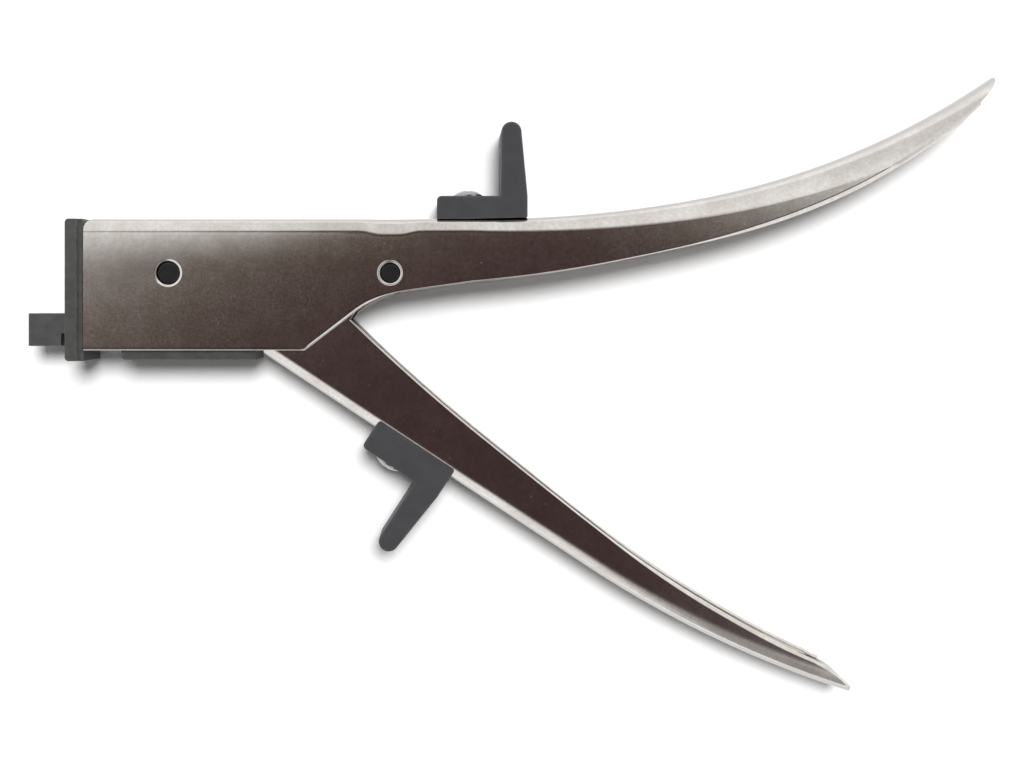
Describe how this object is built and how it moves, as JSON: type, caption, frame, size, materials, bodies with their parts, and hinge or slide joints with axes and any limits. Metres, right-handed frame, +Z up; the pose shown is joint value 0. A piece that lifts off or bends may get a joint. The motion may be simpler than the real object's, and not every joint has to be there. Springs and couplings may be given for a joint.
{
  "type": "hand nibbler",
  "caption": "Hand tool with two curved channel handles on a pivot, a hooked square punch sliding through a die plate at the front, and L-shaped plastic hand stops.",
  "frame": {"origin": "midway between the guide pin and the pivot pin, on the outer face of the cheek that the tool lies on", "axes": "+X along the body from the punch towards the grips, +Y from the lower handle towards the upper handle, +Z up, square to the cheeks"},
  "size_m": [0.1901, 0.1205, 0.0127],
  "materials": {
    "nickel_plate": "polished nickel plate with fine handling scratches",
    "black_oxide": "satin black oxide",
    "tool_steel": "ground, dark hardened steel",
    "pin_steel": "dark hardened pin",
    "spring_wire": "drawn spring wire",
    "bright_zinc": "bright zinc",
    "black_plastic": "moulded, fine matt texture"
  },
  "bodies": {
    "frame": {"upper_handle": "nickel_plate", "die_plate": "black_oxide", "guide_block": "black_oxide", "die_screws": "black_oxide", "guide_pin": "pin_steel", "pivot_pin": "pin_steel", "pivot_spacer": "bright_zinc", "pivot_washers": "bright_zinc", "return_spring": "spring_wire", "upper_stop": "black_plastic", "upper_stop_screw": "bright_zinc", "upper_stop_washer": "bright_zinc", "upper_stop_nut": "bright_zinc"},
    "lever": {"lower_handle": "nickel_plate", "drive_pin": "pin_steel", "lower_stop": "black_plastic", "lower_stop_screw": "bright_zinc", "lower_stop_washer": "bright_zinc", "lower_stop_nut": "bright_zinc"},
    "ram": {"punch": "tool_steel"}
  },
  "joints": [
    {"name": "lever_squeeze", "type": "hinge", "parent": "frame", "child": "lever", "pos_m": [0.02135, 0, 0], "axis": [0, 0, 1], "range_deg": [0, 24], "stiffness_Nm_per_rad": 0.6, "springref_deg": -22.92, "deforming": ["return_spring"]},
    {"name": "punch_stroke", "type": "slide", "parent": "frame", "child": "ram", "axis": [1, 0, 0], "range_m": [0, 0.0052]}
  ],
  "couplings": [
    {"joint": "punch_stroke", "follows": "lever_squeeze", "m_per_rad": 0.0123}
  ]
}
